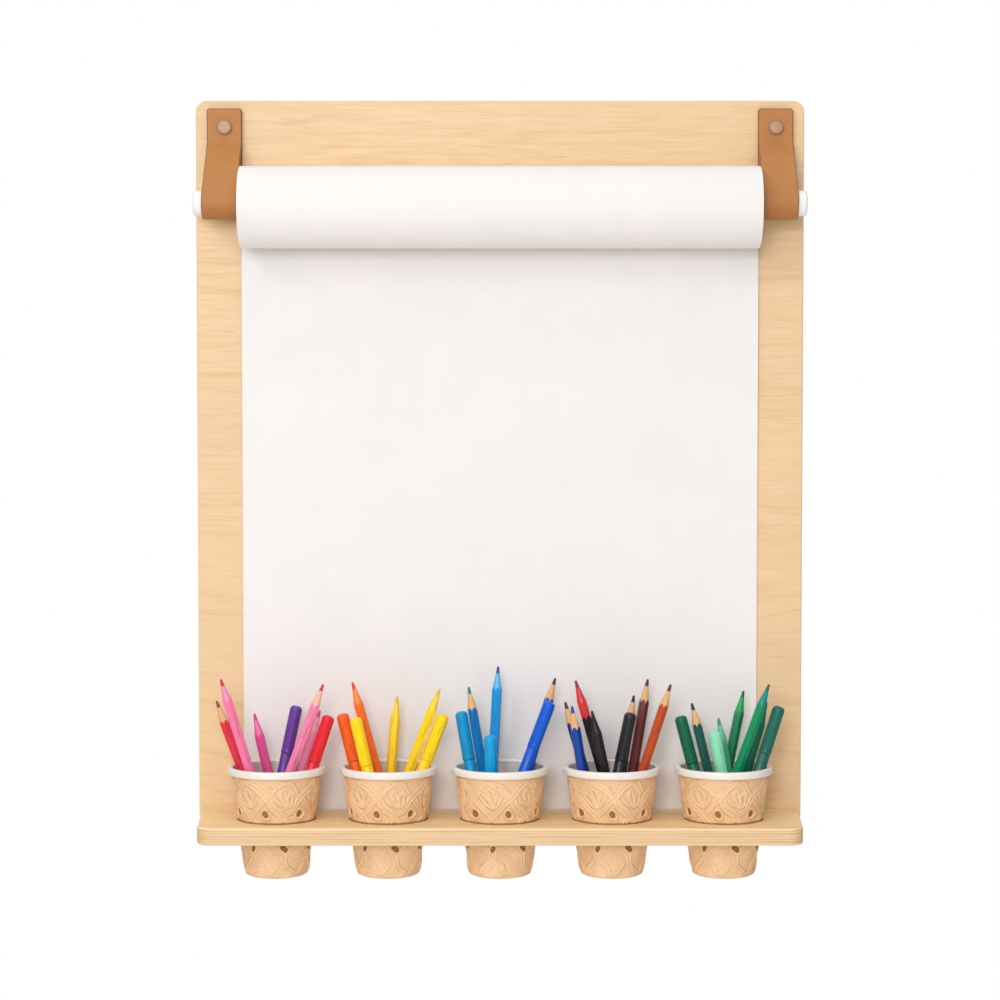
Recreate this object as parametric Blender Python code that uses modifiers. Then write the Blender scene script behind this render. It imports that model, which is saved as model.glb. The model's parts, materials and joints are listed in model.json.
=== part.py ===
"""A wall-hung drawing easel for children.

A plywood board carries a roll of paper on a dowel, held by two leather straps, and a shelf with five
cups of coloured pencils and markers. The paper runs down the board and out through a slot behind the
shelf. Everything is in metres with +Z up. The origin is the centre of the board's back face, which lies
against the wall at Y = 0. The front faces -Y, and +X is to the right of whoever draws on it.
"""

import math

import bmesh
import bpy
from mathutils import Vector

NAME = "kids_easel"

# Driving dimensions. Y runs from the wall (0) towards the child (negative).
GAP = 0.0003  # between pieces that touch
BOARD_WIDTH, BOARD_HEIGHT, BOARD_THICKNESS = 0.529, 0.634, 0.018
BOARD_CORNER, BOARD_EDGE = 0.010, 0.0015
FRONT = -BOARD_THICKNESS

PAPER_WIDTH = 0.446
ROLL_RADIUS = 0.035
CORE_RADIUS, CORE_BORE_RADIUS, CORE_OVERHANG = 0.0165, 0.0145, 0.0003
SHEET_THICKNESS, SHEET_OFF_BOARD = 0.0005, 0.0020

DOWEL_RADIUS, DOWEL_LENGTH, DOWEL_CHAMFER = 0.011, 0.524, 0.0015
DOWEL_Y, DOWEL_Z = FRONT - 0.038, 0.225
ROLL_Z = DOWEL_Z - (CORE_BORE_RADIUS - DOWEL_RADIUS - GAP)

STRAP_WIDTH, STRAP_THICKNESS, STRAP_TOP = 0.0305, 0.0025, 0.3095
STRAP_X = 0.2391
STRAP_FRONT_BEND_Z, STRAP_BACK_BEND_Z = 0.280, 0.262
STUD_Z, STUD_HEAD_RADIUS, STUD_HEAD_HEIGHT, STUD_SHANK_RADIUS = 0.2935, 0.0065, 0.0026, 0.002
STUD_END_DEPTH = 0.0020  # the stud stops this far inside the board's back face
NUT_FLANGE_RADIUS, NUT_BARREL_RADIUS = 0.0065, 0.003
NUT_FLANGE_THICKNESS, NUT_LENGTH, NUT_SINK = 0.0022, 0.012, 0.0005

SHELF_BACK_WIDTH, SHELF_FRONT_WIDTH, SHELF_DEPTH, SHELF_THICKNESS = 0.524, 0.510, 0.100, 0.015
SHELF_CORNER, SHELF_EDGE = 0.012, 0.002
SHELF_TOP = -BOARD_HEIGHT / 2 + SHELF_THICKNESS
SLOT_WIDTH, SLOT_DEPTH = PAPER_WIDTH + 0.004, 0.0035
TENON_WIDTH, TENON_HEIGHT, TENON_DEPTH, TENON_X = 0.017, 0.009, 0.008, 0.239

CUP_COUNT, CUP_PITCH = 5, 0.096
CUP_Y = FRONT - SHELF_DEPTH / 2
CUP_HEIGHT, CUP_ABOVE_SHELF = 0.0935, 0.0455
CUP_FOOT_RADIUS, CUP_TOP_RADIUS, CUP_RIM_RADIUS = 0.0275, 0.039, 0.042
CUP_RIM_HEIGHT, CUP_FLOOR = 0.0065, 0.005
CUP_BORE_FOOT_RADIUS, CUP_BORE_TOP_RADIUS = 0.0248, 0.037

HANGER_X, HANGER_Z = 0.160, 0.250
HANGER_WIDTH, HANGER_HEIGHT, HANGER_THICKNESS = 0.016, 0.044, 0.002
HANGER_SCREW_OFFSET = 0.0172
KEYHOLE_ENTRY_RADIUS, KEYHOLE_SLOT_RADIUS, KEYHOLE_DROP, KEYHOLE_RISE = 0.0045, 0.00225, 0.005, 0.006
HANGER_POCKET_DEPTH, KEYHOLE_POCKET_DEPTH = 0.0025, 0.009
HANGER_SCREW = (0.003, 0.0015, 0.012)  # head radius, shank radius, length
SHELF_SCREW = (0.004, 0.002, 0.045)
SCREW_SINK = 0.0004

PENCIL_RADIUS, PENCIL_POINT, PENCIL_LEAD = 0.0044, 0.021, 0.006
MARKER_RADIUS, MARKER_CAP_RADIUS, MARKER_CAP_LENGTH = 0.0046, 0.0050, 0.042
FOOT_DEPTH = 0.0860  # of a pencil's foot under the cup's rim
FAN = 0.25 / 0.080  # how much further from the middle each row stands, per metre of height

# Pencils stand in four rows across each cup. Rows lean left and right in turn, so none of them cross.
ROWS = {"front": -0.0146, "mid_front": -0.0049, "mid_back": 0.0049, "back": 0.0146}

# Colours, as linear red, green and blue
COLOURS = {
    "red": (0.72, 0.035, 0.05),
    "scarlet": (0.75, 0.01, 0.015),
    "rose": (0.82, 0.13, 0.33),
    "magenta": (0.72, 0.07, 0.28),
    "pink": (0.90, 0.22, 0.42),
    "blush": (0.88, 0.30, 0.48),
    "purple": (0.15, 0.045, 0.33),
    "orange": (0.95, 0.10, 0.015),
    "tangerine": (0.92, 0.14, 0.03),
    "lemon": (0.98, 0.68, 0.01),
    "yellow": (0.94, 0.58, 0.01),
    "amber": (0.90, 0.50, 0.01),
    "teal": (0.01, 0.33, 0.55),
    "azure": (0.01, 0.20, 0.50),
    "sky": (0.01, 0.27, 0.62),
    "cobalt": (0.01, 0.08, 0.55),
    "royal": (0.01, 0.06, 0.45),
    "cyan": (0.02, 0.34, 0.66),
    "navy": (0.01, 0.04, 0.24),
    "indigo": (0.01, 0.05, 0.26),
    "black": (0.012, 0.012, 0.012),
    "charcoal": (0.02, 0.02, 0.022),
    "brown": (0.12, 0.025, 0.02),
    "rust": (0.45, 0.075, 0.025),
    "forest": (0.005, 0.10, 0.055),
    "pine": (0.015, 0.075, 0.065),
    "green": (0.01, 0.17, 0.075),
    "emerald": (0.01, 0.22, 0.10),
    "mint": (0.28, 0.72, 0.50),
    "sea": (0.02, 0.16, 0.13),
    "bottle": (0.01, 0.12, 0.08),
    "jade": (0.09, 0.50, 0.33),
}

# For each cup: colour, kind, row, where the foot stands, where the top is across and above the rim (mm)
CUP_CONTENTS = (
    (
        ("red", "pencil", "mid_back", 0, -52, 55),
        ("magenta", "pencil", "mid_back", 10.5, -19.5, 44),
        ("rose", "pencil", "front", 4.5, -45, 77),
        ("pink", "pencil", "mid_front", -18.8, 41, 71),
        ("scarlet", "marker", "mid_front", 3, 46, 44),
        ("purple", "marker", "back", -12.6, 16, 49),
        ("blush", "pencil", "back", -2.7, 36, 45),
    ),
    (
        ("orange", "marker", "mid_back", -7.6, -40, 44),
        ("tangerine", "pencil", "mid_back", 13, -31, 71),
        ("lemon", "marker", "front", 2.7, -27, 44),
        ("yellow", "pencil", "back", -4.8, 7, 57),
        ("amber", "pencil", "mid_front", -12.5, 44.6, 67),
        ("gold", "marker", "mid_front", -2, 48, 45),
    ),
    (
        ("teal", "marker", "mid_back", -11, -33.5, 46),
        ("azure", "pencil", "mid_back", -1, -27, 67),
        ("cyan", "marker", "front", -6, -8, 29),
        ("sky", "pencil", "back", -10, -1.5, 83),
        ("cobalt", "marker", "mid_front", -9.7, 43, 56),
        ("royal", "pencil", "back", 0.5, 48, 73),
    ),
    (
        ("navy", "pencil", "mid_back", 0, -40, 54),
        ("black", "pencil", "mid_back", 15, -31, 72.6),
        ("indigo", "pencil", "front", -12.6, -35, 54),
        ("ebony", "pencil", "front", 11, -18, 50),
        ("charcoal", "marker", "mid_front", -11, 16, 46.6),
        ("rust", "pencil", "mid_front", 0, 50, 71),
        ("graphite", "pencil", "back", -4, 20, 58),
        ("brown", "pencil", "back", 6, 32, 72),
    ),
    (
        ("forest", "marker", "mid_back", -4, -37, 42),
        ("pine", "pencil", "mid_back", 7, -27, 53),
        ("jade", "pencil", "mid_back", 18, -4, 40),
        ("mint", "marker", "front", 12, -10, 32),
        ("emerald", "pencil", "mid_front", -17.5, 38, 71),
        ("sea", "marker", "mid_front", 4, 47, 52),
        ("green", "pencil", "back", -11.5, 19, 62),
        ("bottle", "pencil", "back", -1.5, 39, 52),
    ),
)
COLOURS.update(gold=COLOURS["yellow"], ebony=COLOURS["black"], graphite=COLOURS["charcoal"])


def clear_scene():
    for obj in list(bpy.data.objects):
        bpy.data.objects.remove(obj)


def new_collection(name, hidden=False):
    collection = bpy.data.collections.new(name)
    collection.hide_render = hidden
    bpy.context.scene.collection.children.link(collection)
    return collection


def material(name, colour, roughness, metallic=0.0):
    """A plain finish, made once for each name."""
    if name in bpy.data.materials:
        return bpy.data.materials[name]
    made = bpy.data.materials.new(name)
    made.use_nodes = True
    made.diffuse_color = (*colour, 1.0)
    shader = made.node_tree.nodes["Principled BSDF"]
    shader.inputs["Base Color"].default_value = (*colour, 1.0)
    shader.inputs["Roughness"].default_value = roughness
    shader.inputs["Metallic"].default_value = metallic
    return made


def plywood():
    return material("maple_plywood", (0.75, 0.52, 0.30), 0.5)


def leather():
    return material("tan_leather", (0.50, 0.25, 0.10), 0.6)


def steel():
    return material("zinc_plated_steel", (0.62, 0.62, 0.60), 0.35, 1.0)


def add_object(name, mesh, collection, finish=None):
    obj = bpy.data.objects.new(name, mesh)
    collection.objects.link(obj)
    if finish:
        mesh.materials.append(finish)
    return obj


def slab(name, collection, size, centre, finish=None, axis=None, corner=0.0, segments=4, taper=1.0):
    """A block, its four edges along one axis rounded to the corner radius.

    The taper is the width of its front face over that of its back face.
    """
    shape = bmesh.new()
    bmesh.ops.create_cube(shape, size=1.0)
    bmesh.ops.scale(shape, vec=size, verts=shape.verts)
    for vert in shape.verts:
        if vert.co.y < 0:
            vert.co.x *= taper
    if corner:
        along = Vector([float(axis == a) for a in "XYZ"])
        edges = [
            edge
            for edge in shape.edges
            if abs((edge.verts[1].co - edge.verts[0].co).normalized().dot(along)) > 0.9
        ]
        bmesh.ops.bevel(
            shape,
            geom=edges,
            offset=corner,
            offset_type="OFFSET",
            segments=segments,
            profile=0.5,
            affect="EDGES",
        )
    mesh = bpy.data.meshes.new(name)
    shape.to_mesh(mesh)
    shape.free()
    obj = add_object(name, mesh, collection, finish)
    obj.location = centre
    return obj


def ease_edges(obj, width, segments=2):
    """Rounds the sharp edges over by a small width."""
    bevel = obj.modifiers.new("eased_edges", "BEVEL")
    bevel.width = width
    bevel.segments = segments
    bevel.limit_method = "ANGLE"
    bevel.angle_limit = math.radians(50)


def turned(name, collection, profile, steps, finish=None, closed=False, smooth=True):
    """A solid turned round its own Z from (radius, height) points that run down its outer side."""
    mesh = bpy.data.meshes.new(name)
    points = [(radius, 0.0, height) for radius, height in profile]
    edges = [(i, i + 1) for i in range(len(points) - 1)]
    if closed:
        edges.append((len(points) - 1, 0))
    mesh.from_pydata(points, edges, [])
    obj = add_object(name, mesh, collection, finish)
    screw = obj.modifiers.new("turn", "SCREW")
    screw.axis = "Z"
    screw.steps = steps
    screw.render_steps = steps
    screw.use_merge_vertices = True
    screw.merge_threshold = 0.00001
    screw.use_smooth_shade = smooth
    return obj


def face_along(obj, direction, place):
    """Sets the object's own +Z along a direction, with its origin at a place."""
    obj.rotation_mode = "QUATERNION"
    obj.rotation_quaternion = Vector(direction).to_track_quat("Z", "Y")
    obj.location = place


def combine(obj, other, operation):
    modifier = obj.modifiers.new(f"{operation.lower()}_{other.name}", "BOOLEAN")
    modifier.operation = operation
    modifier.object = other
    modifier.solver = "EXACT"
    other.display_type = "WIRE"
    other.hide_render = True


def cut(obj, *cutters):
    for cutter in cutters:
        combine(obj, cutter, "DIFFERENCE")


def sides():
    return (("left", -1), ("right", 1))


def cylinder_profile(radius, low, high, chamfer=0.0):
    if not chamfer:
        return ((0.0, high), (radius, high), (radius, low), (0.0, low))
    inner = radius - chamfer
    top = ((inner, high), (radius, high - chamfer))
    bottom = ((radius, low + chamfer), (inner, low))
    return ((0.0, high), *top, *bottom, (0.0, low))


def tube_profile(outer, inner, half_length):
    return ((inner, half_length), (outer, half_length), (outer, -half_length), (inner, -half_length))


def countersunk_profile(head, shank, length):
    """A flat-headed screw whose top lies just under the surface at height zero."""
    top = -SCREW_SINK
    return ((0.0, top), (head, top), (shank, top - (head - shank)), (shank, -length), (0.0, -length))


def countersink_profile(head, shank, length):
    """The hole that a flat-headed screw leaves, open above the surface."""
    above = 0.001
    clear = 0.0005
    mouth = head + clear + SCREW_SINK + above
    neck = -SCREW_SINK - (head - shank)
    bore = shank + GAP
    return ((0.0, above), (mouth, above), (bore, neck), (bore, -length - clear), (0.0, -length - clear))


def build_board(parts, cutters):
    board = slab(
        "back_board",
        parts,
        (BOARD_WIDTH, BOARD_THICKNESS, BOARD_HEIGHT),
        (0, FRONT / 2, 0),
        plywood(),
        axis="Y",
        corner=BOARD_CORNER,
        segments=6,
    )
    ease_edges(board, BOARD_EDGE)
    for side, sign in sides():
        cut(
            board,
            stud_bore(cutters, side, sign),
            hanger_pocket(cutters, side, sign),
            keyhole_pocket(cutters, side, sign),
            mortise(cutters, side, sign),
        )
    return board


def stud_bore(cutters, side, sign):
    """Through the board for the nut's barrel, wider at the back for its flange."""
    flange = NUT_FLANGE_RADIUS + 0.0005
    barrel = NUT_BARREL_RADIUS + GAP
    floor = -(NUT_SINK + NUT_FLANGE_THICKNESS + GAP)
    profile = (
        (0.0, 0.002),
        (flange, 0.002),
        (flange, floor),
        (barrel, floor),
        (barrel, FRONT - 0.002),
        (0.0, FRONT - 0.002),
    )
    bore = turned(f"cut_stud_{side}", cutters, profile, 24)
    face_along(bore, (0, 1, 0), (sign * STRAP_X, 0, STUD_Z))
    return bore


def pocket(cutters, name, width, height, depth, centre, corner):
    """A recess from the board's back face."""
    x, z = centre
    over = 0.002
    size = (width, depth + over, height)
    return slab(name, cutters, size, (x, (over - depth) / 2, z), axis="Y", corner=corner, segments=3)


def hanger_pocket(cutters, side, sign):
    return pocket(
        cutters,
        f"cut_hanger_{side}",
        HANGER_WIDTH + 0.001,
        HANGER_HEIGHT + 0.001,
        HANGER_POCKET_DEPTH,
        (sign * HANGER_X, HANGER_Z),
        0.0035,
    )


def keyhole_pocket(cutters, side, sign):
    height = 2 * (KEYHOLE_DROP + KEYHOLE_ENTRY_RADIUS) + 0.002
    return pocket(
        cutters,
        f"cut_keyhole_{side}",
        0.012,
        height,
        KEYHOLE_POCKET_DEPTH,
        (sign * HANGER_X, HANGER_Z),
        0.003,
    )


def mortise(cutters, side, sign):
    """A blind slot in the board's front for the shelf's tenon."""
    clear = 2 * GAP
    depth = TENON_DEPTH + clear
    size = (TENON_WIDTH + clear, depth + 0.002, TENON_HEIGHT + clear)
    z = SHELF_TOP - SHELF_THICKNESS / 2
    place = (sign * TENON_X, FRONT + depth / 2 - 0.001, z)
    return slab(f"cut_mortise_{side}", cutters, size, place)


def build_shelf(parts, cutters):
    back = FRONT - GAP
    shelf = slab(
        "shelf",
        parts,
        (SHELF_BACK_WIDTH, SHELF_DEPTH, SHELF_THICKNESS),
        (0, back - SHELF_DEPTH / 2, SHELF_TOP - SHELF_THICKNESS / 2),
        plywood(),
        axis="Z",
        corner=SHELF_CORNER,
        segments=6,
        taper=SHELF_FRONT_WIDTH / SHELF_BACK_WIDTH,
    )
    ease_edges(shelf, SHELF_EDGE)
    root = 0.012
    for side, sign in sides():
        size = (TENON_WIDTH, TENON_DEPTH + root, TENON_HEIGHT)
        place = (sign * TENON_X, FRONT + (TENON_DEPTH - root) / 2, SHELF_TOP - SHELF_THICKNESS / 2)
        combine(shelf, slab(f"join_tenon_{side}", cutters, size, place), "UNION")
    over = 0.001
    size = (SLOT_WIDTH, SLOT_DEPTH + over, SHELF_THICKNESS + 0.004)
    place = (0, FRONT - (SLOT_DEPTH - over) / 2, SHELF_TOP - SHELF_THICKNESS / 2)
    cut(shelf, slab("cut_paper_slot", cutters, size, place))
    for number, x in enumerate(cup_places(), 1):
        hole = turned(
            f"cut_cup_{number}",
            cutters,
            cylinder_profile(
                cup_radius(CUP_HEIGHT - CUP_ABOVE_SHELF) + 0.0004,
                -SHELF_THICKNESS - 0.002,
                0.002,
            ),
            32,
        )
        face_along(hole, (0, 0, 1), (x, CUP_Y, SHELF_TOP))
        cut(shelf, hole)
    return shelf


def build_shelf_screws(parts, cutters, board, shelf):
    for side, sign in sides():
        place = (sign * TENON_X, 0, SHELF_TOP - SHELF_THICKNESS / 2)
        hole = turned(f"cut_shelf_screw_{side}", cutters, countersink_profile(*SHELF_SCREW), 16)
        face_along(hole, (0, 1, 0), place)
        cut(board, hole)
        cut(shelf, hole)
        add_screw(f"shelf_screw_{side}", parts, cutters, SHELF_SCREW, place)


def add_screw(name, parts, cutters, sizes, place):
    """A screw driven in from the back, with a cross recess."""
    head = sizes[0]
    screw = turned(name, parts, countersunk_profile(*sizes), 16, steel())
    face_along(screw, (0, 1, 0), place)
    arm, width, depth = 1.1 * head, 0.28 * head, 0.35 * head
    for number, size in enumerate(((arm, 2 * depth, width), (width, 2 * depth, arm))):
        x, y, z = place
        cut(screw, slab(f"cut_recess_{number}_{name}", cutters, size, (x, y - SCREW_SINK, z)))
    return screw


def strap_path():
    """The middle of the leather's thickness, in (Y, Z): down the board, under the dowel and back up."""
    layer = STRAP_THICKNESS + GAP
    back_y = FRONT - GAP - STRAP_THICKNESS / 2
    centre = Vector((DOWEL_Y, DOWEL_Z))
    radius = DOWEL_RADIUS + GAP + STRAP_THICKNESS / 2
    back_bend = Vector((back_y, STRAP_BACK_BEND_Z))
    front_bend = Vector((back_y - layer, STRAP_FRONT_BEND_Z))
    start = touch_angle(back_bend, centre, radius, -1)
    end = touch_angle(front_bend, centre, radius, 1) - 2 * math.pi
    steps = 16
    turn = [start + (end - start) * i / steps for i in range(steps + 1)]
    wrap = [centre + radius * Vector((math.cos(a), math.sin(a))) for a in turn]
    back = [Vector((back_y, STRAP_TOP)), *rounded(Vector((back_y, STRAP_TOP)), back_bend, wrap[0], 0.020)]
    front_top = Vector((back_y - layer, STRAP_TOP))
    front = [*rounded(wrap[-1], front_bend, front_top, 0.012), front_top]
    return back + wrap + front


def touch_angle(point, centre, radius, turn):
    """The angle on a circle where a line from an outside point touches it."""
    away = point - centre
    return math.atan2(away.y, away.x) + turn * math.acos(radius / away.length)


def rounded(before, corner, after, radius, steps=4):
    """An arc in place of a corner between two straight runs."""
    a, b = (before - corner).normalized(), (after - corner).normalized()
    half = a.angle(b) / 2
    middle = corner + (a + b).normalized() * radius / math.sin(half)
    start, end = corner + a * radius / math.tan(half), corner + b * radius / math.tan(half)
    arc = [start.lerp(end, i / steps) - middle for i in range(steps + 1)]
    return [middle + spoke.normalized() * radius for spoke in arc]


def build_straps(parts, cutters):
    path = strap_path()
    for side, sign in sides():
        mesh = bpy.data.meshes.new(f"strap_{side}")
        half = STRAP_WIDTH / 2
        points = [(x, y, z) for y, z in path for x in (-half, half)]
        faces = [(2 * i, 2 * i + 2, 2 * i + 3, 2 * i + 1) for i in range(len(path) - 1)]
        mesh.from_pydata(points, [], faces)
        strap = add_object(f"strap_{side}", mesh, parts, leather())
        strap.location.x = sign * STRAP_X
        solidify = strap.modifiers.new("thickness", "SOLIDIFY")
        solidify.thickness = STRAP_THICKNESS
        solidify.offset = 0.0
        solidify.use_even_offset = True
        hole = turned(
            f"cut_strap_{side}",
            cutters,
            cylinder_profile(STUD_SHANK_RADIUS + GAP, FRONT - 0.012, FRONT + 0.002),
            16,
        )
        face_along(hole, (0, 1, 0), (sign * STRAP_X, 0, STUD_Z))
        cut(strap, hole)


def build_studs(parts, cutters):
    """A domed stud through each strap, and the slotted nut that takes it at the back."""
    copper = material("brushed_copper", (0.62, 0.42, 0.30), 0.4, 1.0)
    seat = -(FRONT - 3 * GAP - 2 * STRAP_THICKNESS)  # how far the head stands off the wall
    crown, r = STUD_HEAD_HEIGHT, STUD_HEAD_RADIUS
    profile = (
        (0.0, seat + crown),
        (0.45 * r, seat + 0.93 * crown),
        (0.78 * r, seat + 0.68 * crown),
        (0.97 * r, seat + 0.30 * crown),
        (r, seat + 0.08 * crown),
        (0.96 * r, seat),
        (STUD_SHANK_RADIUS, seat),
        (STUD_SHANK_RADIUS, STUD_END_DEPTH),
        (0.0, STUD_END_DEPTH),
    )
    flange = -NUT_SINK - NUT_FLANGE_THICKNESS
    bore = STUD_SHANK_RADIUS + GAP
    nut_profile = (
        (bore, -NUT_SINK),
        (NUT_FLANGE_RADIUS, -NUT_SINK),
        (NUT_FLANGE_RADIUS, flange),
        (NUT_BARREL_RADIUS, flange),
        (NUT_BARREL_RADIUS, -NUT_LENGTH),
        (bore, -NUT_LENGTH),
    )
    for side, sign in sides():
        place = (sign * STRAP_X, 0, STUD_Z)
        stud = turned(f"strap_stud_{side}", parts, profile, 24, copper)
        face_along(stud, (0, -1, 0), place)
        nut = turned(f"strap_nut_{side}", parts, nut_profile, 24, steel(), closed=True)
        face_along(nut, (0, 1, 0), place)
        size = (1.8 * NUT_FLANGE_RADIUS, 0.002, 0.0014)
        cut(nut, slab(f"cut_nut_slot_{side}", cutters, size, (place[0], -NUT_SINK, STUD_Z)))


def build_hangers(parts, cutters, board):
    """Steel keyhole plates let into the board's back, each on two screws."""
    for side, sign in sides():
        x = sign * HANGER_X
        plate = slab(
            f"hanger_plate_{side}",
            parts,
            (HANGER_WIDTH, HANGER_THICKNESS, HANGER_HEIGHT),
            (x, -GAP - HANGER_THICKNESS / 2, HANGER_Z),
            steel(),
            axis="Y",
            corner=0.003,
            segments=3,
        )
        reach = cylinder_profile(KEYHOLE_ENTRY_RADIUS, -0.005, 0.005)
        entry = turned(f"cut_entry_{side}", cutters, reach, 20)
        face_along(entry, (0, 1, 0), (x, 0, HANGER_Z - KEYHOLE_DROP))
        reach = cylinder_profile(KEYHOLE_SLOT_RADIUS, -0.005, 0.005)
        end = turned(f"cut_slot_end_{side}", cutters, reach, 16)
        face_along(end, (0, 1, 0), (x, 0, HANGER_Z + KEYHOLE_RISE))
        size = (2 * KEYHOLE_SLOT_RADIUS, 0.010, KEYHOLE_DROP + KEYHOLE_RISE)
        place = (x, 0, HANGER_Z + (KEYHOLE_RISE - KEYHOLE_DROP) / 2)
        cut(plate, entry, end, slab(f"cut_slot_{side}", cutters, size, place))
        for level, up in (("lower", -1), ("upper", 1)):
            place = (x, 0, HANGER_Z + up * HANGER_SCREW_OFFSET)
            hole = turned(
                f"cut_hanger_screw_{side}_{level}",
                cutters,
                countersink_profile(*HANGER_SCREW),
                16,
            )
            face_along(hole, (0, 1, 0), place)
            cut(plate, hole)
            cut(board, hole)
            add_screw(f"hanger_screw_{side}_{level}", parts, cutters, HANGER_SCREW, place)


def build_roll(parts):
    """The dowel, and the paper roll whose cardboard core hangs on it."""
    white = material("white_painted_wood", (0.90, 0.88, 0.85), 0.35)
    half = DOWEL_LENGTH / 2
    dowel = turned("dowel", parts, cylinder_profile(DOWEL_RADIUS, -half, half, DOWEL_CHAMFER), 24, white)
    face_along(dowel, (1, 0, 0), (0, DOWEL_Y, DOWEL_Z))
    core = turned(
        "roll_core",
        parts,
        tube_profile(CORE_RADIUS, CORE_BORE_RADIUS, PAPER_WIDTH / 2 + CORE_OVERHANG),
        32,
        material("cardboard", (0.42, 0.30, 0.18), 0.9),
        closed=True,
    )
    roll = turned(
        "paper_roll",
        parts,
        tube_profile(ROLL_RADIUS, CORE_RADIUS + GAP, PAPER_WIDTH / 2),
        48,
        material("drawing_paper", (0.90, 0.88, 0.86), 0.85),
        closed=True,
    )
    for piece in (core, roll):
        face_along(piece, (1, 0, 0), (0, DOWEL_Y, ROLL_Z))


def build_sheet(parts):
    """The paper that leaves the back of the roll and ends in the slot behind the shelf."""
    low = SHELF_TOP - 0.9 * SHELF_THICKNESS
    slab(
        "paper_sheet",
        parts,
        (PAPER_WIDTH, SHEET_THICKNESS, ROLL_Z - low),
        (0, FRONT - SHEET_OFF_BOARD - SHEET_THICKNESS / 2, (ROLL_Z + low) / 2),
        material("drawing_paper", (0.90, 0.88, 0.86), 0.85),
    )


def cup_places():
    return [(i - (CUP_COUNT - 1) / 2) * CUP_PITCH for i in range(CUP_COUNT)]


def cup_radius(height):
    """The outer radius of a cup's wall at a height above its foot."""
    straight = CUP_HEIGHT - CUP_RIM_HEIGHT
    return CUP_FOOT_RADIUS + (CUP_TOP_RADIUS - CUP_FOOT_RADIUS) * height / straight


def build_cups(parts):
    """Tapered cups with a rolled rim. Each cup's origin is the middle of its foot."""
    rim = CUP_HEIGHT - CUP_RIM_HEIGHT
    profile = (
        (0.0, CUP_FLOOR),
        (CUP_BORE_FOOT_RADIUS - 0.002, CUP_FLOOR),
        (CUP_BORE_FOOT_RADIUS, CUP_FLOOR + 0.002),
        (CUP_BORE_TOP_RADIUS, CUP_HEIGHT - 0.0015),
        (CUP_BORE_TOP_RADIUS + 0.0015, CUP_HEIGHT),
        (CUP_RIM_RADIUS - 0.0015, CUP_HEIGHT),
        (CUP_RIM_RADIUS, CUP_HEIGHT - 0.0020),
        (CUP_RIM_RADIUS, rim + 0.0015),
        (CUP_RIM_RADIUS - 0.0010, rim),
        (cup_radius(rim), rim),
        (cup_radius(0.004), 0.004),
        (cup_radius(0.0) - 0.0010, 0.0011),
        (cup_radius(0.0) - 0.0035, 0.0),
        (0.0, 0.0),
    )
    clay = material("embossed_clay", (0.80, 0.50, 0.25), 0.7)
    for number, x in enumerate(cup_places(), 1):
        cup = turned(f"cup_{number}", parts, profile, 32, clay)
        cup.location = (x, CUP_Y, SHELF_TOP + CUP_ABOVE_SHELF - CUP_HEIGHT)


def pencil_profile(length):
    """A sharpened pencil: six sides, a turned point and a blunt lead."""
    shoulder = length - PENCIL_POINT
    return (
        (0.0, length),
        (0.0006, length - 0.0003),
        (0.0013, length - PENCIL_LEAD),
        (PENCIL_RADIUS, shoulder),
        (PENCIL_RADIUS, 0.0),
        (0.0, 0.0),
    )


def marker_profile(length):
    """A round felt pen with its cap on, a step wider than the barrel."""
    cap = length - MARKER_CAP_LENGTH
    return (
        (0.0, length),
        (0.62 * MARKER_CAP_RADIUS, length),
        (MARKER_CAP_RADIUS, length - 0.0016),
        (MARKER_CAP_RADIUS, cap),
        (MARKER_RADIUS, cap - 0.0002),
        (MARKER_RADIUS, 0.0),
        (0.0, 0.0),
    )


def build_pencils(parts):
    """Each pencil's origin is its foot, and its own Z is the line that it slides out along."""
    rim = SHELF_TOP + CUP_ABOVE_SHELF
    for x, contents in zip(cup_places(), CUP_CONTENTS):
        for colour, kind, row, foot, top, height in contents:
            reach = FOOT_DEPTH + height / 1000
            start = Vector((x + foot / 1000, CUP_Y + ROWS[row], rim - FOOT_DEPTH))
            end = Vector((x + top / 1000, CUP_Y + ROWS[row] * (1 + FAN * reach), rim + height / 1000))
            length = (end - start).length
            finish = material(f"{colour}_paint", COLOURS[colour], 0.4)
            if kind == "pencil":
                piece = turned(f"pencil_{colour}", parts, pencil_profile(length), 6, finish, smooth=False)
            else:
                piece = turned(f"marker_{colour}", parts, marker_profile(length), 12, finish)
            face_along(piece, end - start, start)


def main():
    clear_scene()
    parts = new_collection(NAME)
    cutters = new_collection("cutters", hidden=True)
    board = build_board(parts, cutters)
    shelf = build_shelf(parts, cutters)
    build_shelf_screws(parts, cutters, board, shelf)
    build_straps(parts, cutters)
    build_studs(parts, cutters)
    build_hangers(parts, cutters, board)
    build_roll(parts)
    build_sheet(parts)
    build_cups(parts)
    build_pencils(parts)


main()
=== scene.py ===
"""Looks for a wall-hung drawing easel: plywood, leather, paper, embossed cups and coloured pencils.

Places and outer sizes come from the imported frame. Finishes and the main lengths are settings of the
property groups below, and small roundings stand beside the shapes that use them.
"""

import json
import math
import random

import bmesh
import bpy
from bpy.props import FloatProperty, FloatVectorProperty, IntProperty, PointerProperty
from mathutils import Matrix, Vector, noise


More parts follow.
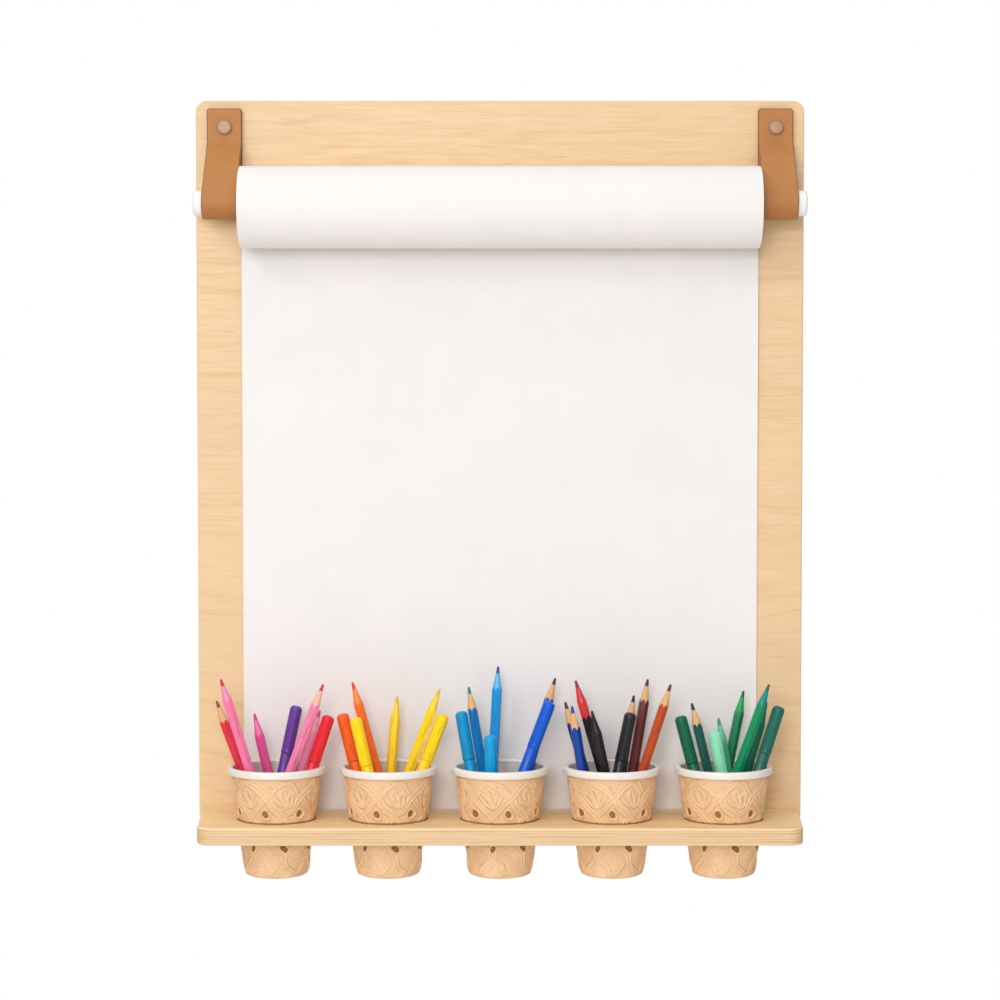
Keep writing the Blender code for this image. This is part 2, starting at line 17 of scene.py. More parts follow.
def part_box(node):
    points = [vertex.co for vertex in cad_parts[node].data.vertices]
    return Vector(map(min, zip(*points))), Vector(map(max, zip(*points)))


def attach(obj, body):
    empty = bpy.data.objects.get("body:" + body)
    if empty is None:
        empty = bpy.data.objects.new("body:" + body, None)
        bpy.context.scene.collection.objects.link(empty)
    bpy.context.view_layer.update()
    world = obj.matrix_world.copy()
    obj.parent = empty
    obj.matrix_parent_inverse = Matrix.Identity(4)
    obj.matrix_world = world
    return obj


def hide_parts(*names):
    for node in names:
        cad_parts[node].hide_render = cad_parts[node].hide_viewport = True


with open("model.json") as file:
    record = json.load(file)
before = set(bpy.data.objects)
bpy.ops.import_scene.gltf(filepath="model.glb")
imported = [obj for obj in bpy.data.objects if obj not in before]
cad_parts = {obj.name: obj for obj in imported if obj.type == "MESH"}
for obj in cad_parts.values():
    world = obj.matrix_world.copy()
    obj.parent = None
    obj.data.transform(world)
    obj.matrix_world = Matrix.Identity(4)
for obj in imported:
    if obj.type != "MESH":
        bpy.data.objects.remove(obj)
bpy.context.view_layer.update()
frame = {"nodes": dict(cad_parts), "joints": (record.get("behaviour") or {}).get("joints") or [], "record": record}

bl_info = {
    "name": "Drawing Easel Dresser",
    "version": (1, 0, 0),
    "blender": (4, 5, 0),
    "location": "3D View > Sidebar > Easel",
    "description": "Dresses a wall-hung drawing easel and its cups of pencils",
    "category": "Object",
}

NODES = frame["nodes"]
BODY_OF = {node: body for body, nodes in frame["record"]["behaviour"]["bodies"].items() for node in nodes}
SLIDE_AXES = {j["child"]: Vector(j["axis"]) for j in frame["joints"] if j["name"].endswith("_draw")}

BOARD_LOW, BOARD_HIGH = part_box("back_board")
SHELF_LOW, SHELF_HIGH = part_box("shelf")
ROLL_LOW, ROLL_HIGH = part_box("paper_roll")
DOWEL_LOW, DOWEL_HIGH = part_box("dowel")
CORE_LOW, CORE_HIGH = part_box("roll_core")
SHEET_LOW, SHEET_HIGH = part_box("paper_sheet")
CUP_LOW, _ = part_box("cup_1")
CUP_NAMES = [f"cup_{number}" for number in range(1, 6)]
DOWEL_RADIUS = (DOWEL_HIGH.z - DOWEL_LOW.z) / 2
DOWEL_AXIS = Vector((0, (DOWEL_LOW.y + DOWEL_HIGH.y) / 2, (DOWEL_LOW.z + DOWEL_HIGH.z) / 2))
ROLL_AXIS = Vector((0, DOWEL_AXIS.y, (ROLL_LOW.z + ROLL_HIGH.z) / 2))
GAP = 0.0003  # between pieces that touch
STRAP_THICKNESS = 0.0025


def linear(code):
    """A linear colour from a six-figure web colour."""
    parts = [int(code[i : i + 2], 16) / 255 for i in (0, 2, 4)]
    return tuple(c / 12.92 if c <= 0.04045 else ((c + 0.055) / 1.055) ** 2.4 for c in parts)


# Each pencil: paint, point and lead. A point without its own colour is bare wood.
PENCIL_LOOKS = {
    "red": ("E0344A", None, "A02438"),
    "magenta": ("DE4E92", "EA6FA8", "C8306C"),
    "rose": ("F27AA4", "F08CB4", "C82440"),
    "pink": ("F284AC", "F7B4A4", "C2333F"),
    "blush": ("F090AE", "F6A9C0", "E0508C"),
    "tangerine": ("FA7028", "F98438", "D63C20"),
    "yellow": ("FCD41C", "F9D430", "D8B41C"),
    "amber": ("FAD018", "F8D030", "D8B41C"),
    "azure": ("0070B4", None, "0C7C84"),
    "sky": ("0A92DA", "5CB4E4", "1C4C94"),
    "royal": ("004EBC", None, "4A1624"),
    "navy": ("0C3890", None, "5A1A26"),
    "black": ("1C1A1A", "D83838", "8C1620"),
    "indigo": ("103E96", None, "24449C"),
    "ebony": ("1E1C1C", "2A2828", "0E0E0E"),
    "rust": ("BE4C22", None, "641C22"),
    "graphite": ("26262A", None, "121214"),
    "brown": ("6A2A26", None, "4C1218"),
    "pine": ("1E5A54", None, "121616"),
    "jade": ("4CB08C", "5EC09C", "2E8C6C"),
    "emerald": ("0A8C5C", "0E8886", "0A6460"),
    "green": ("0C7C4C", "18A050", "0A5C3C"),
    "bottle": ("0C6A50", "107C60", "084838"),
}
DIPPED = {"black": 0.014}  # how far the point's colour runs down the body
MARKER_LOOKS = {
    "scarlet": "E41E30",
    "purple": "643898",
    "orange": "F4601E",
    "lemon": "FFD60E",
    "gold": "FDD20A",
    "teal": "0092CA",
    "cyan": "06A0DC",
    "cobalt": "0058CC",
    "charcoal": "242428",
    "forest": "0A6448",
    "mint": "8CDCB4",
    "sea": "1C6458",
}


# ---------- properties


def colour(name, description, code):
    return FloatVectorProperty(
        name=name, description=description, default=linear(code), subtype="COLOR", min=0.0, max=1.0
    )


def distance(name, description, default):
    return FloatProperty(name=name, description=description, default=default, unit="LENGTH", precision=5)


def share(name, description, default):
    return FloatProperty(
        name=name, description=description, default=default, subtype="FACTOR", min=0.0, max=1.0
    )


def number(name, description, default, unit="NONE"):
    return FloatProperty(name=name, description=description, default=default, unit=unit)


class WoodSettings(bpy.types.PropertyGroup):
    face: colour("Face", "Maple veneer between the grain lines", "E4C196")
    # Painted light: a paler tone for the shelf's top and bottom faces, in place of light from above
    painted_light_tread: colour("Shelf face", "The paler veneer on top of the shelf", "F4D19C")
    grain: colour("Grain", "Darker late wood in the veneer", "C99F6C")
    ply: colour("Ply", "Cross plies seen on a cut edge", "C79C68")
    plies: IntProperty(name="Plies", description="Layers in one sheet", default=13, min=3)
    roughness: share("Roughness", "Clear matt lacquer", 0.5)


class LeatherSettings(bpy.types.PropertyGroup):
    face: colour("Face", "Vegetable tanned leather", "BA7B3E")
    edge: colour("Edge", "Burnished edges", "7A461E")
    front_bend: distance("Front bend", "Height where the front layer leaves the back one", 0.280)
    back_bend: distance("Back bend", "Height where the back layer leaves the board", 0.262)
    copper: colour("Copper", "Brushed studs", "B08A68")


class PaperSettings(bpy.types.PropertyGroup):
    sheet: colour("Paper", "Uncoated drawing paper", "EEE9E7")
    core: colour("Core", "Grey-brown cardboard", "A98C68")
    thickness: distance("Thickness", "Heavy drawing paper", 0.0003)
    bow: distance("Bow", "How far the sheet sinks back towards the board", 0.0009)
    shrink: distance("Shrink", "How much each end of the tight roll draws in", 0.0009)
    spread: distance("Spread", "How much each edge of the loose sheet spreads", 0.0018)
    turns: IntProperty(name="Layers", description="Bundles of layers on the roll's ends", default=26, min=4)


class CupSettings(bpy.types.PropertyGroup):
    clay: colour("Clay", "Unglazed tan body", "F0C89C")
    # Also laid as painted shade along the foot of the raised pattern
    wash_and_shade: colour("Groove", "Darker wash left in the pattern", "B07C48")
    dimple: colour("Dimple", "Pressed dots", "94622F")
    glaze: colour("Glaze", "Cream glaze on the rim", "EEE8E2")
    inside: colour("Inside", "Thin grey glaze inside", "CCC2B8")
    relief: distance("Relief", "Height of the raised pattern", 0.0011)
    repeats: IntProperty(name="Repeats", description="Diamonds round the cup", default=7, min=3)


class PencilSettings(bpy.types.PropertyGroup):
    wood: colour("Wood", "Sharpened cedar", "E2B27C")
    point: distance("Point", "Length of the sharpened point", 0.021)
    lead: distance("Lead", "Length of the bare lead", 0.006)
    cap: distance("Cap", "Length of a marker's cap", 0.042)


class StageSettings(bpy.types.PropertyGroup):
    camera_distance: distance("Camera distance", "From the lens to the wall", 2.186)
    camera_height: distance("Camera height", "Above the board's middle", 0.0661)
    camera_pitch: FloatProperty(
        name="Camera pitch", description="Downward tilt", default=math.radians(2.55), subtype="ANGLE"
    )
    lens: number("Lens", "Focal length in millimetres", 89.3)
    floor_drop: distance("Floor drop", "From the board's middle down to the floor", 1.2)
    daylight: number("Daylight", "Strength of the tall soft strip", 0.76)
    sides: number("Sides", "Strength of the room at the sides", 0.3)
    strip_offset: number("Strip offset", "How far the strip stands to the left", 0.1)
    overhead: number("Overhead", "How much brighter the room is overhead", 1.7)
    underfoot: colour("Underfoot", "Tone of the room underfoot", "FFF0E2")
    key: number("Key light", "Soft lamp at the upper left", 12.5, "POWER")
    front: number("Front light", "Soft lamp straight in front", 20.5, "POWER")


# ---------- shading


class Graph:
    """Adds nodes and links to one new material or world."""

    def __init__(self, name, kind="materials", shader="Principled BSDF"):
        self.owner = getattr(bpy.data, kind).new(name)
        self.owner.use_nodes = True
        self.tree = self.owner.node_tree
        self.shader = self.tree.nodes[shader]

    def feed(self, socket, value):
        if isinstance(value, bpy.types.NodeSocket):
            self.tree.links.new(value, socket)
        elif hasattr(value, "__len__") and len(value) == 3 and socket.type == "RGBA":
            socket.default_value = (*value, 1.0)
        else:
            socket.default_value = value

    def node(self, kind, inputs=None, **settings):
        made = self.tree.nodes.new("ShaderNode" + kind)
        for key, value in settings.items():
            setattr(made, key, value)
        for key, value in (inputs or {}).items():
            self.feed(made.inputs[key], value)
        return made

    def finish(self, base_color, roughness, normal=None, **more):
        """Feeds the shader. Its other sockets go by their own names."""
        inputs = {"base_color": base_color, "roughness": roughness, "normal": normal, **more}
        for key, value in inputs.items():
            if value is not None:
                self.feed(self.shader.inputs[key.replace("_", " ").title()], value)
        return self.owner

    def mapped(self, vector, **change):
        """The vector scaled or moved."""
        inputs = {"Vector": vector, **{key.title(): value for key, value in change.items()}}
        return self.node("Mapping", inputs).outputs["Vector"]

    def place(self, scale=(1, 1, 1)):
        """The piece's own coordinates in metres, stretched."""
        return self.mapped(self.node("TexCoord").outputs["Object"], scale=scale)

    def axis(self, vector, letter):
        return self.node("SeparateXYZ", {"Vector": vector}).outputs[letter]

    def noise(self, vector, scale=1.0, detail=3.0, roughness=0.5, distortion=0.0):
        inputs = {"Scale": scale, "Detail": detail, "Roughness": roughness, "Distortion": distortion}
        return self.node("TexNoise", {"Vector": vector, **inputs}).outputs["Fac"]

    def grain(self, scale, *look):
        """Noise in the piece's own coordinates. The scale is one number, or one for each axis."""
        if isinstance(scale, tuple):
            return self.noise(self.place(scale), 1.0, *look)
        return self.noise(self.place(), scale, *look)

    def stripes(self, place, scale, detail, roughness=0.5):
        """Noise that changes along one line only."""
        inputs = {"W": place, "Scale": scale, "Detail": detail, "Roughness": roughness}
        return self.node("TexNoise", inputs, noise_dimensions="1D").outputs["Fac"]

    def cells(self, scale):
        return self.node("TexVoronoi", {"Vector": self.place(), "Scale": scale}).outputs["Distance"]

    def math(self, operation, a, b=0.0):
        made = self.node("Math", operation=operation)
        self.feed(made.inputs[0], a)
        self.feed(made.inputs[1], b)
        return made.outputs["Value"]

    def span(self, value, low, high, to_low=0.0, to_high=1.0, smooth=True):
        """The value between low and high, mapped to a new range."""
        inputs = {"Value": value, "From Min": low, "From Max": high, "To Min": to_low, "To Max": to_high}
        kind = "SMOOTHSTEP" if smooth else "LINEAR"
        return self.node("MapRange", inputs, interpolation_type=kind).outputs["Result"]

    def blend(self, factor, a, b, kind="MIX"):
        made = self.node("Mix", data_type="RGBA", blend_type=kind)
        for socket, value in zip((made.inputs[0], made.inputs[6], made.inputs[7]), (factor, a, b)):
            self.feed(socket, value)
        return made.outputs[2]

    def over(self, base, colour, value, low, high, amount=1.0):
        """A colour laid over the base where the value rises from low to high."""
        return self.blend(self.span(value, low, high, 0.0, amount), base, colour)

    def rough(self, value, low, high):
        """Roughness that follows the middle of a noise."""
        return self.span(value, 0.3, 0.7, low, high)

    def bump(self, height, depth, under=None):
        """A bump whose depth is in metres."""
        inputs = {"Height": height, "Distance": depth}
        if under:
            inputs["Normal"] = under
        return self.node("Bump", inputs).outputs["Normal"]

    def mark(self, name):
        return self.node("Attribute", attribute_name=name).outputs["Fac"]


def along(axis, length, across):
    """Texture scale for a grain that runs along one axis."""
    return tuple(length if a == axis else across for a in "XYZ")


def plywood(name, thickness_axis, low, high, seed):
    """Lacquered maple ply: long wavy grain along X on the faces, thin layers on the cut edges."""
    wood = bpy.context.scene.easel_wood
    g = Graph(name)
    shifted = g.mapped(g.place(), location=(seed, seed, seed))
    warp = g.noise(g.mapped(shifted, scale=(3.6, 8.0, 8.0)), 1.0, 2.0, 0.5, 0.4)
    across = g.axis(shifted, "Z" if thickness_axis == "Y" else "Y")
    ring_place = g.math("ADD", g.math("MULTIPLY", across, 60.0), g.math("MULTIPLY", warp, 7.0))
    rings = g.stripes(ring_place, 1.0, 5.0, 0.62)
    late = g.span(rings, 0.50, 0.74)
    fibres = g.noise(g.mapped(shifted, scale=(26, 700, 700)), 1.0, 3.0, 0.6)
    cloud = g.noise(g.mapped(shifted, scale=(3.0, 8.0, 8.0)), 1.0, 2.0)
    flecks = g.span(g.noise(g.mapped(shifted, scale=(20, 170, 170)), 1.0, 3.0, 0.5, 0.7), 0.56, 0.70)
    # The shelf's faces take the paler tone, which paints in light from above
    veneer = wood.face if thickness_axis == "Y" else wood.painted_light_tread
    face = g.blend(g.math("MULTIPLY", late, 0.34), veneer, wood.grain)
    face = g.blend(g.math("MULTIPLY", flecks, 0.27), face, wood.grain)
    face = g.over(face, wood.grain, fibres, 0.35, 0.75, 0.22)
    face = g.blend(g.span(cloud, 0.3, 0.7, 0.0, 0.22), face, (1.0, 0.86, 0.68), "SOFT_LIGHT")

    thickness = g.axis(g.place(), thickness_axis)
    layer = g.math("MULTIPLY", g.math("SUBTRACT", thickness, low), wood.plies / (high - low))
    pair = g.math("PINGPONG", layer, 1.0)
    end_grain = g.grain((500, 500, 500), 2.0)
    edge = g.over(wood.face, wood.ply, pair, 0.35, 0.65)
    edge = g.over(edge, wood.grain, end_grain, 0.4, 0.8, 0.25)
    glue = g.span(g.math("ABSOLUTE", g.math("SUBTRACT", pair, 0.5)), 0.0, 0.12, 0.22, 0.0)
    edge = g.blend(glue, edge, (0.34, 0.20, 0.10))
    worn = g.grain((9, 9, 260) if thickness_axis == "Z" else (9, 260, 9), 3.0, 0.6, 0.3)
    edge = g.blend(g.span(worn, 0.35, 0.62, 0.35, 0.92), edge, wood.face)
    edge = g.over(edge, wood.grain, worn, 0.60, 0.74, 0.55)
    slope = g.math("ABSOLUTE", g.axis(g.node("TexCoord").outputs["Normal"], thickness_axis))
    paint = g.over(edge, face, slope, 0.55, 0.85)
    # Painted highlight along the rounded edges, where the faces turn into the cut edges
    edge_highlight = g.math("MULTIPLY", g.span(slope, 0.12, 0.4), g.span(slope, 0.98, 0.8))
    paint = g.blend(g.math("MULTIPLY", edge_highlight, 0.55), paint, linear("F8DEB8"))
    rough = g.rough(fibres, wood.roughness - 0.06, wood.roughness + 0.12)
    normal = g.bump(late, 0.00003, under=g.bump(fibres, 0.00006))
    return g.finish(paint, rough, normal, coat_weight=0.12, coat_roughness=0.35)


def leather():
    """Tan leather with a fine pebbled grain, soft mottling and dark polished edges."""
    settings = bpy.context.scene.easel_leather
    g = Graph("tan_strap_leather")
    mottle = g.grain(55.0, 4.0, 0.6)
    pores = g.cells(1300.0)
    creases = g.grain((260, 260, 90), 5.0, 0.65)
    edge = g.mark("edge")
    base = g.over(settings.face, settings.edge, mottle, 0.3, 0.8, 0.16)
    base = g.over(base, settings.edge, creases, 0.55, 0.8, 0.18)
    height = g.axis(g.place(), "Z")
    # Darker towards the bottom of the strap, from below the back bend down
    darker_below = g.span(height, settings.back_bend - 0.01, settings.back_bend - 0.06, 0.0, 0.5)
    base = g.blend(darker_below, base, linear("A0622A"))
    base = g.over(base, settings.edge, edge, 0.0, 0.6, 0.25)
    base = g.over(base, settings.edge, edge, 0.45, 0.95, 0.9)
    normal = g.bump(creases, 0.00022, under=g.bump(pores, 0.00008))
    rough = g.span(edge, 0.4, 1.0, 0.58, 0.34)
    return g.finish(base, rough, normal, sheen_weight=0.08, sheen_roughness=0.4)


def copper():
    """Pale copper with a stippled face."""
    settings = bpy.context.scene.easel_leather
    g = Graph("stippled_copper")
    stipple = g.grain(1700.0, 2.0, 0.7)
    tarnish = g.grain(260.0, 3.0)
    base = g.over(settings.copper, (0.42, 0.27, 0.17), tarnish, 0.35, 0.7, 0.3)
    base = g.over(base, (0.36, 0.22, 0.13), stipple, 0.5, 0.62, 0.45)
    rough = g.rough(stipple, 0.42, 0.6)
    return g.finish(base, rough, g.bump(stipple, 0.00012), metallic=0.6)


def steel():
    """Zinc-plated steel with rolling marks and faint crystals."""
    g = Graph("zinc_plated_steel")
    scratches = g.grain((900, 900, 60), 4.0, 0.6)
    crystals = g.cells(420.0)
    base = g.over((0.60, 0.61, 0.62), (0.44, 0.46, 0.49), crystals, 0.1, 0.9, 0.5)
    rough = g.rough(scratches, 0.26, 0.46)
    return g.finish(base, rough, g.bump(scratches, 0.00004), metallic=1.0)


def white_paint():
    """Cream-white satin paint over turned wood; the grain shows faintly."""
    g = Graph("satin_white_dowel_paint")
    grain = g.grain(along("X", 18, 900), 4.0, 0.6)
    patch = g.grain(40.0, 2.0)
    base = g.over((0.86, 0.845, 0.825), (0.76, 0.735, 0.70), grain, 0.45, 0.8, 0.3)
    base = g.over(base, (0.88, 0.87, 0.85), patch, 0.4, 0.7, 0.3)
    rough = g.rough(patch, 0.30, 0.42)
    return g.finish(base, rough, g.bump(grain, 0.00005))


def paper(name, rolled=False):
    """Uncoated paper with a soft tooth. On the roll's ends the wound layers show as fine rings."""
    settings = bpy.context.scene.easel_paper
    g = Graph(name)
    tooth = g.grain(1500.0, 4.0, 0.7)
    cloud = g.grain(22.0, 3.0)
    base = g.over(settings.sheet, (0.80, 0.78, 0.77), cloud, 0.3, 0.7, 0.5)
    base = g.over(base, (0.70, 0.67, 0.65), tooth, 0.5, 0.8, 0.12)
    normal = g.bump(tooth, 0.00003)
    if rolled:
        centred = g.mapped(g.place(), location=-ROLL_AXIS)
        axes = {letter: g.axis(centred, letter) for letter in "YZ"}
        flat = g.node("CombineXYZ", axes).outputs["Vector"]
        radius = g.node("VectorMath", {0: flat}, operation="LENGTH").outputs["Value"]
        layers = g.stripes(radius, 2600.0, 2.0)
        facing = g.axis(g.node("TexCoord").outputs["Normal"], "X")
        on_end = g.span(g.math("ABSOLUTE", facing), 0.5, 0.8)
        lines = g.math("MULTIPLY", g.span(layers, 0.48, 0.62), on_end)
        base = g.blend(g.math("MULTIPLY", lines, 0.5), base, (0.42, 0.38, 0.34))
        normal = g.bump(lines, 0.0001, under=normal)
    return g.finish(base, g.rough(tooth, 0.74, 0.92), normal, sheen_weight=0.05)


def cardboard():
    """Spiral-wound board: fibres, and a seam that climbs along the tube."""
    settings = bpy.context.scene.easel_paper
    g = Graph("spiral_wound_cardboard")
    fibres = g.grain((160, 900, 900), 4.0, 0.65)
    flecks = g.cells(520.0)
    base = g.over(settings.core, (0.26, 0.18, 0.11), fibres, 0.35, 0.75, 0.6)
    base = g.blend(g.span(flecks, 0.0, 0.16, 0.5, 0.0), base, (0.16, 0.10, 0.06))
    return g.finish(base, g.rough(fibres, 0.8, 0.95), g.bump(fibres, 0.00012))


def clay():
    """Tan clay: darker patches and strokes, painted shade along the foot of the raised pattern, a painted
    highlight on its raised tops, brown pressed dots, and a painted shadow ring where the cup meets the shelf's
    hole.
    """
    settings = bpy.context.scene.easel_cups
    g = Graph("embossed_tan_clay")
    relief, dot = g.mark("relief"), g.mark("dot")
    grit = g.grain(900.0, 4.0, 0.65)
    cloud = g.grain(70.0, 4.0, 0.6)
    strokes = g.grain((170, 170, 420), 3.0, 0.6, 1.2)
    base = g.over(settings.clay, settings.wash_and_shade, cloud, 0.3, 0.75, 0.25)
    base = g.over(base, settings.wash_and_shade, strokes, 0.52, 0.75, 0.25)
    # Painted shade: a dark line along the foot of every raised ridge
    line = g.span(g.math("ABSOLUTE", g.math("SUBTRACT", relief, 0.22)), 0.0, 0.16, 0.42, 0.0)
    base = g.blend(line, base, settings.wash_and_shade)
    # Painted highlight: the raised tops are lighter
    base = g.over(base, linear("F2D2A8"), relief, 0.5, 1.0, 0.55)
    specks = g.cells(260.0)
    base = g.blend(g.span(specks, 0.05, 0.13, 0.7, 0.0), base, settings.dimple)
    base = g.over(base, settings.dimple, dot, 0.15, 0.7)
    base = g.over(base, settings.wash_and_shade, g.mark("centre"), 0.2, 0.9, 0.9)
    height = g.axis(g.place(), "Z")
    # Painted shadow: a dark ring at the height where the cup sits in the shelf's hole, in place of the shade in
    # that gap
    from_shelf = g.math("ABSOLUTE", g.math("SUBTRACT", height, SHELF_HIGH.z - CUP_LOW.z + 0.0006))
    base = g.blend(g.span(from_shelf, 0.0002, 0.0013, 0.8, 0.0), base, (0.16, 0.08, 0.03))
    normal = g.bump(strokes, 0.00022, under=g.bump(grit, 0.00012))
    return g.finish(base, g.rough(grit, 0.55, 0.78), normal)


def glaze(name, tint):
    """Thin glaze with slow ripples, and a warmer tone where it runs thin."""
    g = Graph(name)
    ripple = g.grain(90.0, 2.0)
    pits = g.grain(1100.0, 3.0)
    thin = tuple(c * f for c, f in zip(tint, (0.93, 0.86, 0.78)))
    base = g.over(tint, thin, ripple, 0.35, 0.75, 0.35)
    normal = g.bump(ripple, 0.0004, under=g.bump(pits, 0.00003))
    rough = g.rough(pits, 0.26, 0.42)
    return g.finish(base, rough, normal, coat_weight=0.5, coat_roughness=0.12)


def pencil_paint(name, tint):
    """Gloss lacquer on a pencil or a plastic barrel: long brushed streaks in its bump, a painted highlight laid
    along them, and darker patches.
    """
    g = Graph(name)
    streaks = g.grain(along("Z", 26, 950), 4.0, 0.65)
    patch = g.grain(along("Z", 60, 260), 2.0)
    light = tuple(min(1.0, c * 1.3 + 0.008) for c in tint)
    dark = tuple(c * 0.55 for c in tint)
    # Painted highlight: a lighter tone along the streaks
    base = g.over(tint, light, streaks, 0.5, 0.85, 0.55)
    base = g.over(base, dark, patch, 0.5, 0.8, 0.55)
    rough = g.rough(streaks, 0.26, 0.44)
    g.shader.inputs["Specular IOR Level"].default_value = 0.3
    normal = g.bump(streaks, 0.00010)
    return g.finish(base, rough, normal, coat_weight=0.12, coat_roughness=0.15)


def bare_wood():
    """Sharpened cedar with straight fibres and the fine steps that a blade leaves."""
    settings = bpy.context.scene.easel_pencils
    g = Graph("sharpened_cedar")
    fibres = g.grain(along("Z", 70, 1600), 4.0, 0.6)
    steps = g.grain(along("Z", 1500, 90), 2.0)
    base = g.over(settings.wood, (0.52, 0.28, 0.12), fibres, 0.4, 0.75, 0.55)
    normal = g.bump(steps, 0.00004, under=g.bump(fibres, 0.00008))
    return g.finish(base, g.rough(fibres, 0.6, 0.8), normal)


def wax_lead(name, tint):
    """Waxy coloured lead with rubbed flats."""
    g = Graph(name)
    rub = g.grain(900.0, 3.0, 0.6)
    base = g.over(tint, tuple(min(1.0, c * 1.5 + 0.03) for c in tint), rub, 0.4, 0.75, 0.4)
    return g.finish(base, g.rough(rub, 0.40, 0.6), g.bump(rub, 0.00006))


def floor_finish():
    g = Graph("pale_floor")
    cloud = g.grain(3.0, 3.0)
    base = g.blend(cloud, (0.93, 0.89, 0.84), (0.90, 0.86, 0.81))
    return g.finish(base, 0.7)


# ---------- shapes


def circle(count, start=0.0):
    return [start + 2 * math.pi * k / count for k in range(count)]


def skin(name, rings, finishes, bands=None, closed=False, marks=None):
    """A skin over rings of points. Bands give each row's finish, and marks give named values per point."""
    shape = bmesh.new()
    layers = {key: shape.verts.layers.float.new(key) for key in (marks or {})}
    grid = [[shape.verts.new(point) for point in ring] for ring in rings]
    for key, layer in layers.items():
        for row, values in zip(grid, marks[key]):
            for vert, value in zip(row, values):
                vert[layer] = value
    rows = list(zip(grid, grid[1:] + grid[:1])) if closed else list(zip(grid, grid[1:]))
    for number, (lower, upper) in enumerate(rows):
        for k in range(len(lower)):
            face = shape.faces.new((lower[k - 1], lower[k], upper[k], upper[k - 1]))
            face.material_index = bands[number] if bands else 0
    if not closed:
        for ring, number in ((grid[0], 0), (grid[-1], -1)):
            face = shape.faces.new(ring)
            face.material_index = bands[number] if bands else 0
    bmesh.ops.recalc_face_normals(shape, faces=shape.faces)
    return mesh_object(name, shape, finishes)


def mesh_object(name, shape, finishes, sharp=40):
    mesh = bpy.data.meshes.new(name)
    shape.to_mesh(mesh)
    shape.free()
    mesh.shade_smooth()
    mesh.set_sharp_from_angle(angle=math.radians(sharp))
    for finish in finishes:
        mesh.materials.append(finish)
    obj = bpy.data.objects.new(name, mesh)
    bpy.context.scene.collection.objects.link(obj)
    return obj


def turned_rings(profile, count, spread=None):
    """Rings round Z through (radius, height) points. Spread may change a radius by its angle and height."""
    rings = []
    for radius, height in profile:
        ring = []
        for angle in circle(count):
            r = spread(radius, angle, height) if spread else radius
            ring.append(Vector((r * math.cos(angle), r * math.sin(angle), height)))
        rings.append(ring)
    return rings


def arc(centre, radius, start, end, steps):
    """(radius, height) points on an arc, its angles in degrees from straight out."""
    angles = [math.radians(start + (end - start) * i / steps) for i in range(steps + 1)]
    return [(centre[0] + radius * math.cos(a), centre[1] + radius * math.sin(a)) for a in angles]


def lay_along_x(obj, place):
    """Turns the mesh from Z to X and moves it, so that its own coordinates are the easel's."""
    obj.data.transform(Matrix.Translation(place) @ Matrix.Rotation(math.pi / 2, 4, "Y"))


def stand_for(obj, node):
    """The piece takes a CAD node's place on its body."""
    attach(obj, BODY_OF[node])
    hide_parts(node)


def refined_copy(name, node, finish):
    """A CAD node's shape with welded corners and smooth, weighted shading."""
    shape = bmesh.new()
    shape.from_mesh(NODES[node].data)
    bmesh.ops.remove_doubles(shape, verts=shape.verts, dist=0.00001)
    bmesh.ops.dissolve_limit(shape, angle_limit=math.radians(0.4), verts=shape.verts, edges=shape.edges)
    bmesh.ops.recalc_face_normals(shape, faces=shape.faces)
    obj = mesh_object(name, shape, [finish], sharp=50)
    weighted = obj.modifiers.new("flat_faces", "WEIGHTED_NORMAL")
    weighted.keep_sharp = True
    return obj


def dress(node, finish):
    """A CAD node keeps its shape and gets this finish."""
    mesh = NODES[node].data
    mesh.materials.clear()
    mesh.materials.append(finish)


class EASEL_OT_board(bpy.types.Operator):
    """Veneered board and shelf"""

    bl_idname = "easel.board"
    bl_label = "Board and shelf"

    def execute(self, context):
        face = plywood("maple_board", "Y", BOARD_LOW.y, BOARD_HIGH.y, 0.0)
        stand_for(refined_copy("veneered_board", "back_board", face), "back_board")
        painted_light_tread = plywood("maple_shelf", "Z", SHELF_LOW.z, SHELF_HIGH.z, 1.7)
        stand_for(refined_copy("veneered_shelf", "shelf", painted_light_tread), "shelf")
        return {"FINISHED"}


# ---------- straps and studs


def touch_angle(point, centre, radius, turn):
    """The angle on a circle where a line from an outside point touches it."""
    away = point - centre
    return math.atan2(away.y, away.x) + turn * math.acos(radius / away.length)


def rounded(before, corner, after, radius, steps=10):
    """An arc in place of a corner between two straight runs."""
    a, b = (before - corner).normalized(), (after - corner).normalized()
    half = a.angle(b) / 2
    middle = corner + (a + b).normalized() * radius / math.sin(half)
    start, end = corner + a * radius / math.tan(half), corner + b * radius / math.tan(half)
    spokes = [start.lerp(end, i / steps) - middle for i in range(steps + 1)]
    return [middle + spoke.normalized() * radius for spoke in spokes]


def strap_path(top):
    """The middle of the leather in (Y, Z): down the board, round the dowel and back up to the stud."""
    settings = bpy.context.scene.easel_leather
    back_y = BOARD_LOW.y - GAP - STRAP_THICKNESS / 2
    front_y = back_y - STRAP_THICKNESS - GAP
    centre = DOWEL_AXIS.yz
    radius = DOWEL_RADIUS + GAP + STRAP_THICKNESS / 2
    back_bend, front_bend = Vector((back_y, settings.back_bend)), Vector((front_y, settings.front_bend))
    start = touch_angle(back_bend, centre, radius, -1)
    end = touch_angle(front_bend, centre, radius, 1) - 2 * math.pi
    steps = 40
    turn = [start + (end - start) * i / steps for i in range(steps + 1)]
    wrap = [centre + radius * Vector((math.cos(a), math.sin(a))) for a in turn]
    back_top, front_top = Vector((back_y, top)), Vector((front_y, top))
    down = [back_top, *rounded(back_top, back_bend, wrap[0], 0.020)]
    up = [*rounded(wrap[-1], front_bend, front_top, 0.012), front_top]
    return down + wrap + up


